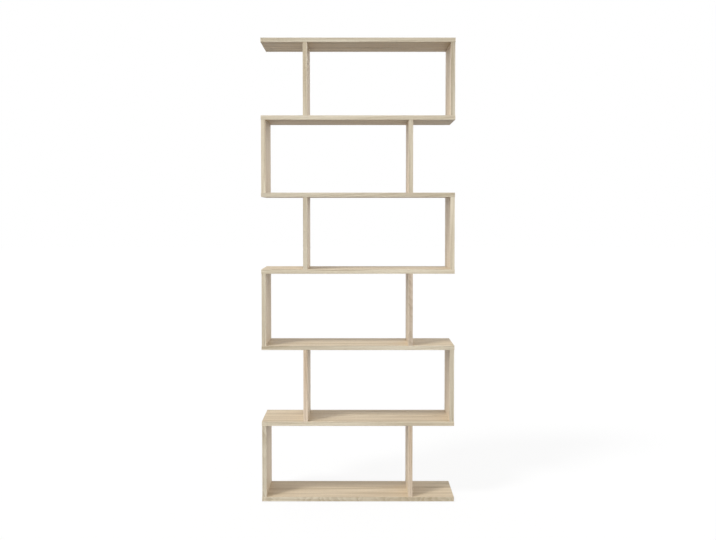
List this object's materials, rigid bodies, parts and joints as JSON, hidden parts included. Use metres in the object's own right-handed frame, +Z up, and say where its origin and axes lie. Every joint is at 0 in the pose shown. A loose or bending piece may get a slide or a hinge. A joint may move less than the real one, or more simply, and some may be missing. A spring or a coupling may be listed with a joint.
{
  "type": "zigzag bookshelf",
  "caption": "Tall, shallow, open-backed bookcase of pale oak boards, whose side panels and dividers change ends from shelf to shelf in a zigzag.",
  "frame": {"origin": "on the floor, under the middle of the shelves", "axes": "+Z up, +Y to the back (the wall), +X to the right as seen from the front"},
  "size_m": [0.8, 0.25, 1.947],
  "materials": {
    "oak_board": "pale oak melamine, fine matt grain",
    "oak_edge_band": "pale oak melamine edging",
    "zinc_plated_steel": "bright zinc plating",
    "beech": "raw beech",
    "oak_cap_foil": "pale oak printed foil",
    "glide_plastic": "moulded off-white plastic"
  },
  "bodies": {
    "root": {"bottom_shelf": "oak_board", "shelf_2": "oak_board", "shelf_3": "oak_board", "shelf_4": "oak_board", "shelf_5": "oak_board", "shelf_6": "oak_board", "top_shelf": "oak_board", "tier_1_left_side": "oak_board", "tier_1_right_divider": "oak_board", "tier_2_right_side": "oak_board", "tier_2_left_divider": "oak_board", "tier_3_left_side": "oak_board", "tier_3_right_divider": "oak_board", "tier_4_right_side": "oak_board", "tier_4_left_divider": "oak_board", "tier_5_left_side": "oak_board", "tier_5_right_divider": "oak_board", "tier_6_right_side": "oak_board", "tier_6_left_divider": "oak_board", "bottom_shelf_edge_bands": "oak_edge_band", "shelf_2_edge_bands": "oak_edge_band", "shelf_3_edge_bands": "oak_edge_band", "shelf_4_edge_bands": "oak_edge_band", "shelf_5_edge_bands": "oak_edge_band", "shelf_6_edge_bands": "oak_edge_band", "top_shelf_edge_bands": "oak_edge_band", "tier_1_left_side_edge_bands": "oak_edge_band", "tier_1_right_divider_edge_bands": "oak_edge_band", "tier_2_right_side_edge_bands": "oak_edge_band", "tier_2_left_divider_edge_bands": "oak_edge_band", "tier_3_left_side_edge_bands": "oak_edge_band", "tier_3_right_divider_edge_bands": "oak_edge_band", "tier_4_right_side_edge_bands": "oak_edge_band", "tier_4_left_divider_edge_bands": "oak_edge_band", "tier_5_left_side_edge_bands": "oak_edge_band", "tier_5_right_divider_edge_bands": "oak_edge_band", "tier_6_right_side_edge_bands": "oak_edge_band", "tier_6_left_divider_edge_bands": "oak_edge_band", "connecting_screws": "zinc_plated_steel", "dowels": "beech", "screw_caps": "oak_cap_foil", "floor_glides": "glide_plastic", "glide_nails": "zinc_plated_steel", "wall_bracket_left": "zinc_plated_steel", "wall_bracket_right": "zinc_plated_steel", "bracket_screws": "zinc_plated_steel"}
  },
  "joints": []
}
